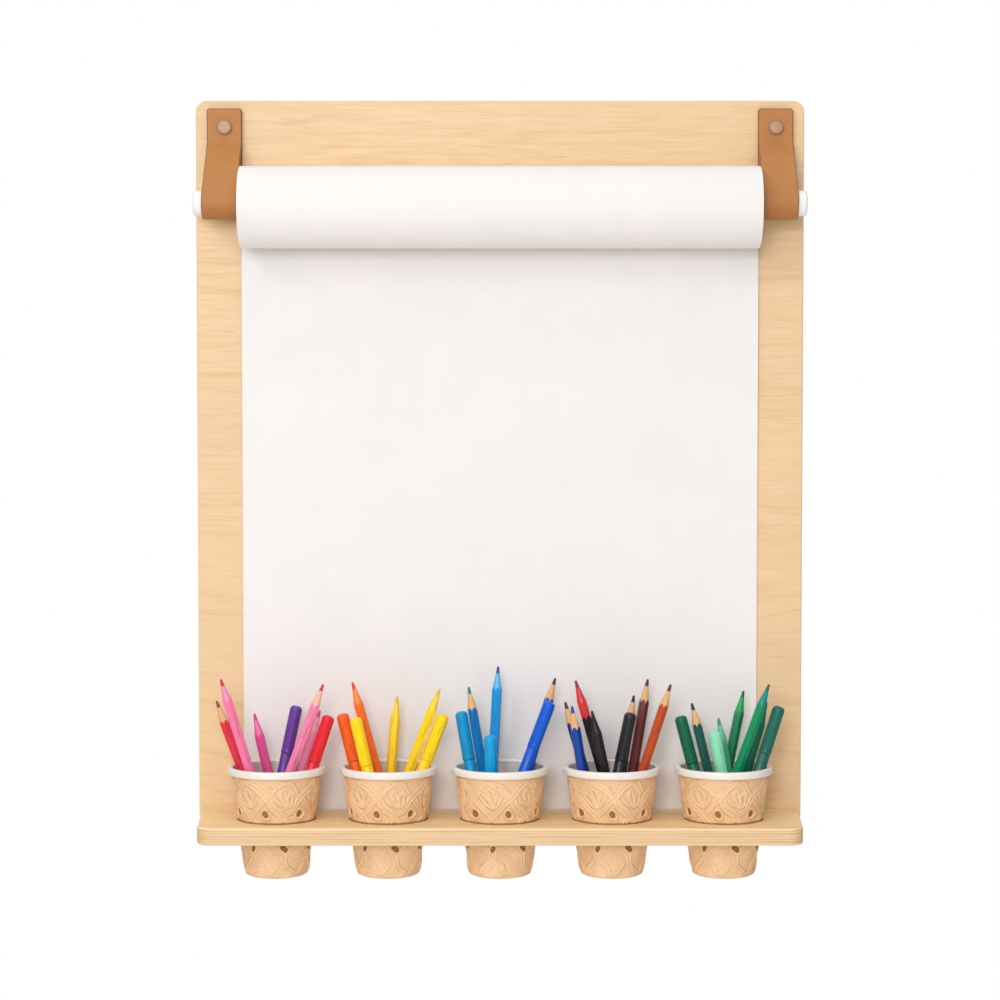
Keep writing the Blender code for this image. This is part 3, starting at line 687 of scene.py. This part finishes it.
def even_steps(path, step):
    """The same route with a point about every step."""
    points = []
    for a, b in zip(path, path[1:]):
        count = max(1, round((b - a).length / step))
        points += [a.lerp(b, i / count) for i in range(count)]
    return points + [path[-1]]


def strap_section(half_width, half_thickness, edge_radius):
    """(across, out, edge mark) points round a strip with rounded edges."""
    inset = 0.0016
    flat = [half_width - edge_radius, half_width - inset, half_width * 0.5, 0.0]
    flat += [-x for x in reversed(flat[:-1])]
    points = []
    for out in (1, -1):
        for x in flat:
            points.append((out * x, out * half_thickness, max(0.0, 1 - (half_width - abs(x)) / inset)))
        for i in range(1, 4):
            a = math.radians(90 + 180 * i / 4)
            x = -(half_width - edge_radius) + edge_radius * math.cos(a)
            points.append((out * x, out * half_thickness * math.sin(a), 1.0))
    return points


def build_strap(side, finish):
    low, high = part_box(f"strap_{side}")
    half_width = (high.x - low.x) / 2
    middle_x = (high.x + low.x) / 2
    path = even_steps(strap_path(high.z), 0.0016)
    corner = 0.0014
    lengths = [0.0]
    for a, b in zip(path, path[1:]):
        lengths.append(lengths[-1] + (b - a).length)
    rings, marks = [], []
    for i, point in enumerate(path):
        ahead = path[min(i + 1, len(path) - 1)] - path[max(i - 1, 0)]
        out = Vector((ahead.y, -ahead.x)).normalized()
        from_end = min(lengths[i], lengths[-1] - lengths[i])
        tuck = max(0.0, corner - from_end)
        narrow = corner - math.sqrt(max(0.0, corner**2 - tuck**2))
        wobble = 0.00012 * (noise.noise(Vector((middle_x * 40, lengths[i] * 60, 0.3))) - 0.5)
        half_thickness = STRAP_THICKNESS / 2 - 0.3 * narrow
        section = strap_section(half_width - narrow - abs(wobble), half_thickness, 0.0009)
        rings.append(
            [Vector((middle_x + x, point.x + out.x * o, point.y + out.y * o)) for x, o, _ in section]
        )
        marks.append([max(mark, tuck / corner) for _, _, mark in section])
    obj = skin(f"leather_strap_{side}", rings, [finish], marks={"edge": marks})
    stand_for(obj, f"strap_{side}")


def build_stud(side, finish):
    """A flat disc with a raised rim, on the shank that screws into its nut."""
    low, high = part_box(f"strap_stud_{side}")
    radius = (high.x - low.x) / 2
    crown = 0.0026
    shank = 0.002
    seat = high.y - low.y - crown
    profile = [(shank, 0.0), (shank, seat)]
    profile += [(radius * 0.955, seat), (radius * 0.99, seat + 0.0002)]
    profile += arc((radius - 0.0006, seat + crown - 0.0006), 0.0006, 0, 150, 7)
    profile += [(radius * 0.86, seat + crown - 0.0009), (radius * 0.80, seat + crown - 0.0005)]
    profile += [(radius * 0.4, seat + crown - 0.0004), (radius * 0.02, seat + crown - 0.00038)]
    obj = skin(f"copper_stud_{side}", turned_rings(profile, 64), [finish])
    place = Matrix.Translation(((low.x + high.x) / 2, high.y, (low.z + high.z) / 2))
    obj.matrix_world = place @ Matrix.Rotation(math.pi / 2, 4, "X")
    stand_for(obj, f"strap_stud_{side}")


class EASEL_OT_straps(bpy.types.Operator):
    """Leather straps, copper studs and the steel pieces at the back"""

    bl_idname = "easel.straps"
    bl_label = "Straps and hardware"

    def execute(self, context):
        hide, disc, plated = leather(), copper(), steel()
        for side in ("left", "right"):
            build_strap(side, hide)
            build_stud(side, disc)
            plain = [f"strap_nut_{side}", f"shelf_screw_{side}", f"hanger_plate_{side}"]
            plain += [f"hanger_screw_{side}_{level}" for level in ("lower", "upper")]
            for node in plain:
                dress(node, plated)
        return {"FINISHED"}


# ---------- dowel, roll and sheet


def build_dowel():
    half = (DOWEL_HIGH.x - DOWEL_LOW.x) / 2
    ease = 0.0022
    end = arc((DOWEL_RADIUS - ease, half - ease), ease, 0, 90, 6)
    profile = [(r, -z) for r, z in reversed(end)] + end
    obj = skin("painted_dowel", turned_rings(profile, 72), [white_paint()])
    lay_along_x(obj, DOWEL_AXIS)
    stand_for(obj, "dowel")


def build_core():
    outer = (CORE_HIGH.z - CORE_LOW.z) / 2
    inner = outer - 0.002
    half = (CORE_HIGH.x - CORE_LOW.x) / 2
    ease = 0.0004
    profile = [(inner, -half + ease), (inner + ease, -half), (outer - ease, -half), (outer, -half + ease)]
    profile += [(r, -z) for r, z in reversed(profile)]
    obj = skin("cardboard_core", turned_rings(profile, 96), [cardboard()], closed=True)
    lay_along_x(obj, ROLL_AXIS)
    stand_for(obj, "roll_core")


def build_roll():
    """Wound paper: the ends step in and out a little between bundles of layers."""
    settings = bpy.context.scene.easel_paper
    outer = (ROLL_HIGH.z - ROLL_LOW.z) / 2
    inner = (CORE_HIGH.z - CORE_LOW.z) / 2 + GAP
    half = (ROLL_HIGH.x - ROLL_LOW.x) / 2 - settings.shrink
    draw = random.Random(7)
    pitch = (outer - inner) / settings.turns
    end = []
    for layer in range(settings.turns):
        face = half - draw.uniform(0.0, 0.0007)
        start = inner + layer * pitch
        end += [(start + 0.04 * pitch, face), (start + 0.90 * pitch, face)]
        end.append((start + 0.95 * pitch, face - 0.0002))
    end[-2:] = [(outer - 0.0004, half), (outer, half - 0.0003)]
    rings = turned_rings([(r, -z) for r, z in end] + end[::-1], 128)
    obj = skin("wound_paper", rings, [paper("wound_drawing_paper", rolled=True)], closed=True)
    lay_along_x(obj, ROLL_AXIS)
    stand_for(obj, "paper_roll")


def sheet_path(thickness):
    """(Y, Z) points from behind the roll's crown down its back and on to the slot behind the shelf."""
    settings = bpy.context.scene.easel_paper
    axis = ROLL_AXIS
    radius = (ROLL_HIGH.z - ROLL_LOW.z) / 2 + 0.0002 + thickness / 2
    wrap = [math.radians(75 * (1 - i / 14)) for i in range(15)]
    points = [(axis.y + radius * math.cos(a), axis.z + radius * math.sin(a)) for a in wrap]
    start_y, low = points[-1][0], SHEET_LOW.z
    end_y = (SHEET_LOW.y + SHEET_HIGH.y) / 2
    steps = 60
    for i in range(1, steps + 1):
        t = i / steps
        sunk = settings.bow * math.sin(math.pi * min(1.0, t * 1.6, (1 - t) * 4 + 0.001) / 2) ** 2
        points.append((start_y + (end_y - start_y) * t + sunk, axis.z + (low - axis.z) * t))
    return points


def build_sheet():
    """One sheet from the roll to the slot. It sinks a little towards the board and isn't quite flat."""
    settings = bpy.context.scene.easel_paper
    half = (SHEET_HIGH.x - SHEET_LOW.x) / 2 + settings.spread
    columns = 32
    across = [half * (2 * k / columns - 1) for k in range(columns + 1)]
    route = [Vector((0, y, z)) for y, z in sheet_path(settings.thickness)]
    held_from, held_to = 16, len(route) - 3
    rings = []
    for i, point in enumerate(route):
        ahead = route[min(i + 1, len(route) - 1)] - route[max(i - 1, 0)]
        out = Vector((0, ahead.z, -ahead.y)).normalized() * settings.thickness / 2
        free = math.sin(math.pi * min(1.0, max(0.0, (i - held_from) / (held_to - held_from))))
        ring = []
        for side in (1, -1):
            for x in across[::side]:
                lift = 0.0005 * free * noise.noise(Vector((x * 7, point.z * 9, 2.0)))
                ring.append(point + side * out + Vector((x, -lift, 0)))
        rings.append(ring)
    obj = skin("hanging_sheet", rings, [paper("hanging_drawing_paper")])
    stand_for(obj, "paper_sheet")


class EASEL_OT_paper(bpy.types.Operator):
    """Dowel, cardboard core, wound paper and the sheet that hangs from it"""

    bl_idname = "easel.paper"
    bl_label = "Roll and sheet"

    def execute(self, context):
        build_dowel()
        build_core()
        build_roll()
        build_sheet()
        return {"FINISHED"}


# ---------- cups

CUP_FOOT, CUP_SHOULDER, CUP_RIM = 0.0275, 0.039, 0.042
CUP_BORE_FOOT, CUP_BORE_TOP, CUP_FLOOR = 0.0248, 0.037, 0.005
RIM_HEIGHT = 0.0065
PATTERN_RADIUS = 0.0345  # where the pattern's cells are measured round the cup
PLAIN_MARKS = {"relief": 0.5, "dot": 0.0, "centre": 0.0}  # for the rows that have no pattern
CUP_PHASES = (-10, -13, 14, 0, -11.5)  # where the front dot stands on each cup, in degrees to the right


def ridge(distance, width):
    return math.exp(-((distance / width) ** 2))


def petal(x, y, reach, width):
    """A rounded leaf that points up, raised at its outline and veined."""
    if abs(y) > reach:
        return 0.0
    side = width * math.cos(0.5 * math.pi * y / reach)
    body = 0.5 if abs(x) < side else 0.0
    return max(ridge(abs(x) - side, 0.0008), body - 0.4 * ridge(x, 0.0005) * (abs(x) < side))


def leaf_motif(x, y):
    """Three leaves that fan out from one stem."""
    best = 0.0
    for lean, reach, width in ((0, 0.0086, 0.0030), (36, 0.0082, 0.0027), (-36, 0.0082, 0.0027)):
        a = math.radians(lean)
        foot_x, foot_y = x, y + 0.0082
        across = foot_x * math.cos(a) - foot_y * math.sin(a)
        up = foot_x * math.sin(a) + foot_y * math.cos(a)
        best = max(best, petal(across, up - reach, reach, width))
    return best


def pattern(turn, height, repeats, girth):
    """Relief, dot and the dot's middle, each from 0 to 1, at a place on the cup."""
    cell, tall = girth / repeats, 0.034
    wander = Vector((math.cos(turn) * 2.6, math.sin(turn) * 2.6, height * 75))
    push = noise.noise_vector(wander)
    u = turn * repeats / (2 * math.pi) + 0.13 * push.x
    v = (height - 0.070) / tall + 0.08 * push.y
    slope = cell * tall / math.hypot(cell, tall)
    relief = 0.0
    for diagonal, other in ((u + v, u - v), (u - v, u + v)):
        line = math.floor(diagonal + 0.5)
        away = abs(diagonal - line) * slope
        over = (line + (diagonal != u + v) + math.floor(other + 0.5)) % 2
        crossing = 0.0 if over else ridge(abs(other - math.floor(other + 0.5)) * slope, 0.0026)
        lines = max(ridge(away - 0.0016, 0.0009), 0.45 * ridge(away, 0.0016))
        relief = max(relief, lines * (1 - 0.6 * crossing))
    if abs(v) < 0.42:
        relief = max(relief, leaf_motif((u - math.floor(u) - 0.5) * cell, v * tall))
    dot, centre = 0.0, 0.0
    for level, offset in ((0.0565, 0.0), (0.0265, 0.5)):
        x = (u - offset - math.floor(u - offset + 0.5)) * cell
        away = math.hypot(x, (height - level) / 1.1) + 0.0004 * push.z
        dot = max(dot, 1 - min(1.0, max(0.0, (away - 0.0021) / 0.0009)))
        centre = max(centre, ridge(math.hypot(x + 0.0003, height - level + 0.0003), 0.0014))
        relief = max(relief, ridge(away - 0.0041, 0.0008))
    rough = 0.10 * noise.noise(wander * 4)
    return min(1.0, max(0.0, relief + rough)), dot, centre


def cup_profile(height):
    """The plain parts: from the wall's foot in under the base, and from the rim down inside to the floor."""
    base = [(0.0010, 0.0), (CUP_FOOT - 0.0042, 0.0), (CUP_FOOT - 0.0030, 0.0004), (CUP_FOOT - 0.0012, 0.0014)]
    low = height - RIM_HEIGHT
    rim = [(CUP_SHOULDER - 0.0003, low - 0.0002), (CUP_RIM - 0.0012, low + 0.0001)]
    rim += arc((CUP_RIM - 0.0016, low + 0.0018), 0.0016, -60, 0, 4)
    rim += arc((CUP_RIM - 0.0019, height - 0.0019), 0.0019, 0, 90, 6)
    rim += arc((CUP_BORE_TOP + 0.0017, height - 0.0017), 0.0017, 90, 180, 6)
    bore = []
    steps = 22
    for i in range(1, steps + 1):
        t = i / steps
        radius = CUP_BORE_TOP + (CUP_BORE_FOOT - CUP_BORE_TOP) * t
        bore.append((radius, height - 0.002 - (height - 0.0095) * t))
    floor = arc((CUP_BORE_FOOT - 0.0025, CUP_FLOOR + 0.0025), 0.0025, -20, -90, 4) + [(0.0010, CUP_FLOOR)]
    return base, rim, bore + floor


def build_cup(name, phase, finishes):
    settings = bpy.context.scene.easel_cups
    low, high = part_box(name)
    height = high.z - low.z
    columns, rows = 400, 116
    base, rim, inside = cup_profile(height)
    rings = turned_rings(base, columns)
    marks = {key: [[value] * columns for _ in base] for key, value in PLAIN_MARKS.items()}
    top = height - RIM_HEIGHT - 0.0004
    for i in range(rows + 1):
        h = 0.002 + (top - 0.002) * i / rows
        radius = CUP_FOOT + (CUP_SHOULDER - CUP_FOOT) * h / (height - RIM_HEIGHT)
        fade = min(1.0, (h - 0.002) / 0.003, (top - h) / 0.0025)
        ring, values = [], []
        for angle in circle(columns):
            turn = angle + math.pi / 2 - math.radians(phase)
            relief, dot, centre = pattern(turn, h, settings.repeats, 2 * math.pi * PATTERN_RADIUS)
            relief *= fade
            r = radius - settings.relief * (1 - relief) - 0.0010 * dot * (1 - 0.5 * centre)
            ring.append(Vector((r * math.cos(angle), r * math.sin(angle), h)))
            values.append((relief, dot, centre))
        rings.append(ring)
        for key, row in zip(marks, zip(*values)):
            marks[key].append(row)
    rings += turned_rings(rim + inside, columns)
    for key, value in PLAIN_MARKS.items():
        marks[key] += [[value] * columns for _ in rim + inside]
    bands = [0] * (len(base) + rows) + [1] * len(rim) + [2] * len(inside)
    obj = skin(f"embossed_{name}", rings, finishes, bands=bands, marks=marks)
    obj.location = ((low.x + high.x) / 2, (low.y + high.y) / 2, low.z)
    stand_for(obj, name)


class EASEL_OT_cups(bpy.types.Operator):
    """Five embossed clay cups with a glazed rim"""

    bl_idname = "easel.cups"
    bl_label = "Cups"

    def execute(self, context):
        settings = context.scene.easel_cups
        finishes = [clay(), glaze("cream_rim_glaze", settings.glaze)]
        finishes.append(glaze("grey_inner_glaze", settings.inside))
        for name, phase in zip(CUP_NAMES, CUP_PHASES):
            build_cup(name, phase, finishes)
        return {"FINISHED"}


# ---------- pencils and markers


def node_frame(node):
    """A matrix at the node's foot with Z along the line it slides out on, its length, and its two radii."""
    axis = SLIDE_AXES[node].normalized()
    points = [v.co.copy() for v in NODES[node].data.vertices]
    reach = [p.dot(axis) for p in points]
    low, high = min(reach), max(reach)
    foot = [p for p, r in zip(points, reach) if r < low + 0.0001]
    centre = sum(foot, Vector()) / len(foot)
    spokes = [p - centre - axis * (p - centre).dot(axis) for p in points]
    at_foot = max((s for s, r in zip(spokes, reach) if r < low + 0.0001), key=lambda s: s.length)
    x_axis = at_foot.normalized()
    matrix = Matrix((x_axis, axis.cross(x_axis), axis)).transposed().to_4x4()
    matrix.translation = centre
    return matrix, high - low, at_foot.length, max(s.length for s in spokes)


def hexagon(radius, angle):
    """The rounded outline of a six-sided pencil, with a corner at angle 0."""
    apothem = radius * math.cos(math.pi / 6)
    bend = (angle % (math.pi / 3)) - math.pi / 6
    return min(radius * 0.975, apothem / math.cos(bend))


def build_pencil(name, finishes):
    """A rounded hexagon whose paint ends in scallops where the sharpened cone meets its flats."""
    settings = bpy.context.scene.easel_pencils
    node = f"pencil_{name}"
    matrix, length, radius, _ = node_frame(node)
    lead_radius, tip_radius = 0.0017, 0.0010
    slope = (radius - lead_radius) / (settings.point - settings.lead)
    columns, ease = 72, 0.0003
    dip = DIPPED.get(name, 0.010)
    rings = [[] for _ in range(19)]
    for angle in circle(columns):
        side = hexagon(radius, angle)
        lead = length - settings.lead
        shoulder = lead - (side - lead_radius) / slope
        wave = 0.00035 * math.sin(5 * angle) + 0.0002 * math.sin(11 * angle + 1)
        column = [(side - ease, 0.0), (side, ease)]
        column += [(side, shoulder * 0.3), (side, shoulder * 0.6), (side, shoulder - dip + 0.4 * wave)]
        column += [(side, shoulder - 0.0006), (side - 0.00004, shoulder - 0.00015)]
        column.append((side - 0.00016, shoulder))
        wide = side - 0.00018
        for t in (0.02, 0.3, 0.6, 0.97):
            column.append((wide + (lead_radius - wide) * t, shoulder + (lead - shoulder + wave) * t))
        column += [(lead_radius - 0.00003, lead + wave), (lead_radius - 0.00008, lead + wave + 0.0002)]
        for t in (0.3, 0.65, 1.0):
            r = lead_radius + (tip_radius - lead_radius) * t
            column.append((r, lead + wave + (settings.lead - 0.0007 - wave) * t))
        column += [(tip_radius * 0.75, length - 0.0002), (tip_radius * 0.3, length - 0.00003)]
        for ring, (r, h) in zip(rings, column):
            ring.append(Vector((r * math.cos(angle), r * math.sin(angle), h)))
    shoulder_band = [1, 1, 1] if name in DIPPED else [0, 0, 0]
    bands = [0] * 4 + shoulder_band + [1] * 5 + [2] * 6
    obj = skin(f"drawing_{node}", rings, finishes, bands=bands)
    obj.matrix_world = matrix
    stand_for(obj, node)


def build_marker(name, finish):
    """A felt pen: a domed, lightly fluted cap over a plain barrel, with a seam between them."""
    settings = bpy.context.scene.easel_pencils
    node = f"marker_{name}"
    matrix, length, radius, cap_radius = node_frame(node)
    cap_low = length - settings.cap

    def flute(r, angle, height):
        above, below = (height - cap_low - 0.003) / 0.002, (length - 0.006 - height) / 0.004
        inside = min(1.0, max(0.0, above), max(0.0, below))
        return r - 0.00022 * inside * (0.5 - 0.5 * math.cos(8 * angle)) ** 2

    profile = [(radius - 0.0006, 0.0), (radius, 0.0006), (radius, cap_low * 0.5)]
    profile += [(radius, cap_low - 0.0006), (radius - 0.0003, cap_low - 0.0002), (radius - 0.0003, cap_low)]
    profile += [(cap_radius - 0.0002, cap_low + 0.0001), (cap_radius, cap_low + 0.0004)]
    waist = cap_radius - 0.00012
    profile += [(cap_radius, cap_low + 0.0018), (waist, cap_low + 0.0024)]
    body = settings.cap - 0.0024 - 0.005
    profile += [(waist, cap_low + 0.0024 + body * t) for t in (0.08, 0.25, 0.5, 0.75, 0.92, 1.0)]
    profile += arc((cap_radius - 0.0036, length - 0.0036), 0.0035, 8, 84, 9)
    profile.append((0.0003, length - 0.0001))
    obj = skin(f"felt_{node}", turned_rings(profile, 64, flute), [finish])
    obj.matrix_world = matrix
    stand_for(obj, node)


class EASEL_OT_pencils(bpy.types.Operator):
    """Twenty-three sharpened pencils"""

    bl_idname = "easel.pencils"
    bl_label = "Pencils"

    def execute(self, context):
        wood = bare_wood()
        for name, (body, point, lead) in PENCIL_LOOKS.items():
            cone = pencil_paint(f"{name}_point", linear(point)) if point else wood
            lacquer = pencil_paint(f"{name}_lacquer", linear(body))
            build_pencil(name, [lacquer, cone, wax_lead(f"{name}_lead", linear(lead))])
        return {"FINISHED"}


class EASEL_OT_markers(bpy.types.Operator):
    """Twelve capped felt pens"""

    bl_idname = "easel.markers"
    bl_label = "Markers"

    def execute(self, context):
        for name, body in MARKER_LOOKS.items():
            build_marker(name, pencil_paint(f"{name}_plastic", linear(body)))
        return {"FINISHED"}


# ---------- stage


def white_room(settings):
    """A white room seen straight on, lit by a tall soft strip in front and behind, dimmer at the sides."""
    g = Graph("white_room", "worlds", "Background")
    direction = g.node("TexCoord").outputs["Generated"]
    height = g.axis(direction, "Z")
    tone = g.blend(g.span(height, -0.30, -0.8, smooth=False), (1.0, 1.0, 1.0), settings.underfoot)
    aside = g.math("ABSOLUTE", g.math("ADD", g.axis(direction, "X"), settings.strip_offset))
    strip = g.span(aside, 0.2, 0.9, settings.daylight, settings.sides)
    ceiling = g.span(height, 0.4, 0.95, 1.0, settings.overhead, smooth=False)
    seen = g.node("LightPath").outputs["Is Camera Ray"]
    glow = g.node("Mix", {0: seen, 2: g.math("MULTIPLY", strip, ceiling), 3: 1.0}).outputs[0]
    g.feed(g.shader.inputs["Color"], tone)
    g.feed(g.shader.inputs["Strength"], glow)
    return g.owner


def add_lamp(name, power, size, place, target):
    lamp = bpy.data.lights.new(name, "AREA")
    lamp.energy = power
    lamp.size = size
    obj = bpy.data.objects.new(name, lamp)
    bpy.context.scene.collection.objects.link(obj)
    obj.location = place
    obj.rotation_euler = (Vector(target) - Vector(place)).to_track_quat("-Z", "Y").to_euler()
    obj.visible_camera = False


class EASEL_OT_stage(bpy.types.Operator):
    """Floor, white surroundings, two soft lamps and the camera"""

    bl_idname = "easel.stage"
    bl_label = "Stage"

    def execute(self, context):
        settings = context.scene.easel_stage
        shape = bmesh.new()
        bmesh.ops.create_circle(shape, cap_ends=True, segments=96, radius=2.1)
        floor = mesh_object("floor", shape, [floor_finish()])
        floor.location.z = -settings.floor_drop

        context.scene.world = white_room(settings)
        add_lamp("soft_key", settings.key, 0.8, (-1.3, -2.2, 1.3), (0.0, 0.0, 0.0))
        add_lamp("front_light", settings.front, 0.7, (-0.25, -2.5, 0.45), (0.0, 0.0, -0.35))

        lens = bpy.data.cameras.new("camera")
        lens.lens = settings.lens
        lens.sensor_width = 36.0
        camera = bpy.data.objects.new("camera", lens)
        context.scene.collection.objects.link(camera)
        camera.location = (0.0, -settings.camera_distance, settings.camera_height)
        camera.rotation_euler = (math.pi / 2 - settings.camera_pitch, 0.0, 0.0)
        context.scene.camera = camera
        context.scene.view_settings.view_transform = "Standard"
        return {"FINISHED"}


class EASEL_PT_dresser(bpy.types.Panel):
    """Lists the easel's operators and settings"""

    bl_label = "Drawing Easel"
    bl_idname = "EASEL_PT_dresser"
    bl_space_type = "VIEW_3D"
    bl_region_type = "UI"
    bl_category = "Easel"

    def draw(self, context):
        for operator in OPERATORS:
            self.layout.operator(operator.bl_idname)
        for attribute, group in GROUPS.items():
            box = self.layout.box()
            for key in group.__annotations__:
                box.prop(getattr(context.scene, attribute), key)


GROUPS = {
    "easel_wood": WoodSettings,
    "easel_leather": LeatherSettings,
    "easel_paper": PaperSettings,
    "easel_cups": CupSettings,
    "easel_pencils": PencilSettings,
    "easel_stage": StageSettings,
}
OPERATORS = (
    EASEL_OT_stage,
    EASEL_OT_board,
    EASEL_OT_straps,
    EASEL_OT_paper,
    EASEL_OT_cups,
    EASEL_OT_pencils,
    EASEL_OT_markers,
)


def register():
    for attribute, group in GROUPS.items():
        bpy.utils.register_class(group)
        setattr(bpy.types.Scene, attribute, PointerProperty(type=group))
    for cls in (*OPERATORS, EASEL_PT_dresser):
        bpy.utils.register_class(cls)


def unregister():
    for cls in (EASEL_PT_dresser, *reversed(OPERATORS)):
        bpy.utils.unregister_class(cls)
    for attribute, group in GROUPS.items():
        delattr(bpy.types.Scene, attribute)
        bpy.utils.unregister_class(group)


def main():
    register()
    for operator in OPERATORS:
        group, name = operator.bl_idname.split(".")
        getattr(getattr(bpy.ops, group), name)()


if __name__ == "__main__":
    main()
